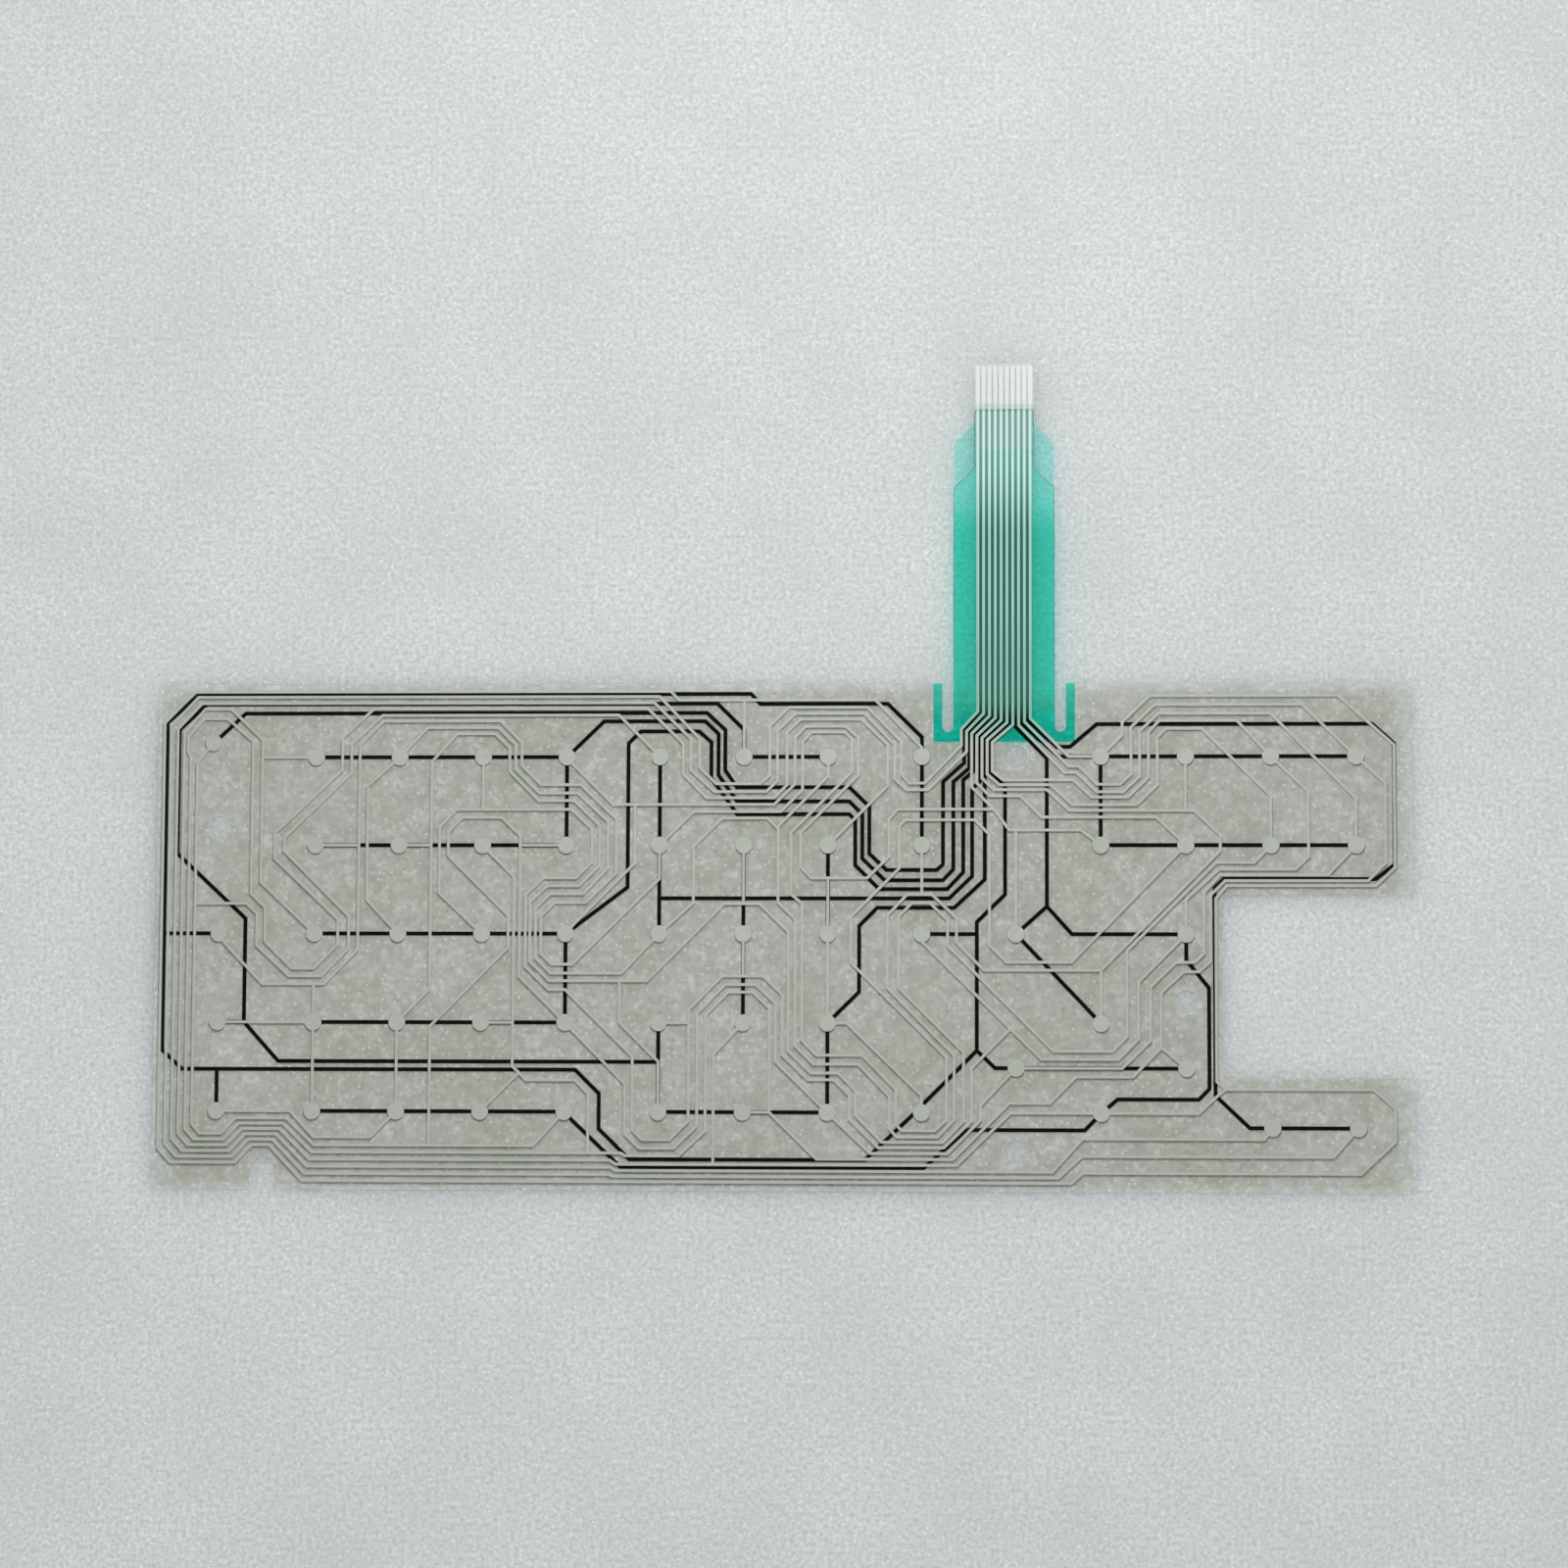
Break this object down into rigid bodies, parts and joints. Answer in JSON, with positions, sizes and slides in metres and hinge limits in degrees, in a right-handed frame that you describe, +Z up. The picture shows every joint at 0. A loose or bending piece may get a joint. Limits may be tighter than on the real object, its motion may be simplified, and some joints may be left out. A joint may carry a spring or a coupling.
{
  "type": "membrane keypad",
  "caption": "Flat membrane keypad of clear printed films with silver and carbon lines, round key contacts, side arms, relief slots and a green insulated tail with bare contacts.",
  "frame": {"origin": "middle of the flat keypad's bounding box at the face that lies on the floor", "axes": "+X along the sheet towards the arms, +Y along the tail towards its tip, +Z up out of the upper film"},
  "size_m": [0.2698, 0.1782, 0.0006],
  "materials": {
    "film": "clear polyester film, slightly hazy, satin",
    "spacer": "clear polyester spacer with adhesive, matt",
    "green_ink": "translucent green insulating ink, smooth",
    "stiffener": "clear to whitish polyester plate, glossy",
    "silver_print": "printed silver ink, satin, seen through the film",
    "carbon_print": "printed carbon ink, matt black"
  },
  "bodies": {
    "root": {"lower_film": "film", "spacer": "spacer", "upper_film": "film", "lower_insulation": "green_ink", "upper_insulation": "green_ink", "tail_stiffener": "stiffener", "upper_silver_line_1": "silver_print", "upper_silver_line_2": "silver_print", "upper_silver_line_3": "silver_print", "upper_silver_line_4": "silver_print", "upper_silver_line_5": "silver_print", "upper_silver_line_6": "silver_print", "upper_silver_line_7": "silver_print", "upper_silver_line_8": "silver_print", "upper_silver_line_9": "silver_print", "upper_silver_line_10": "silver_print", "lower_carbon_line_1": "carbon_print", "lower_carbon_line_2": "carbon_print", "lower_carbon_line_3": "carbon_print", "lower_carbon_line_4": "carbon_print", "lower_carbon_line_5": "carbon_print", "lower_carbon_line_6": "carbon_print", "lower_carbon_line_7": "carbon_print", "lower_carbon_line_8": "carbon_print", "lower_carbon_line_9": "carbon_print"}
  },
  "joints": []
}
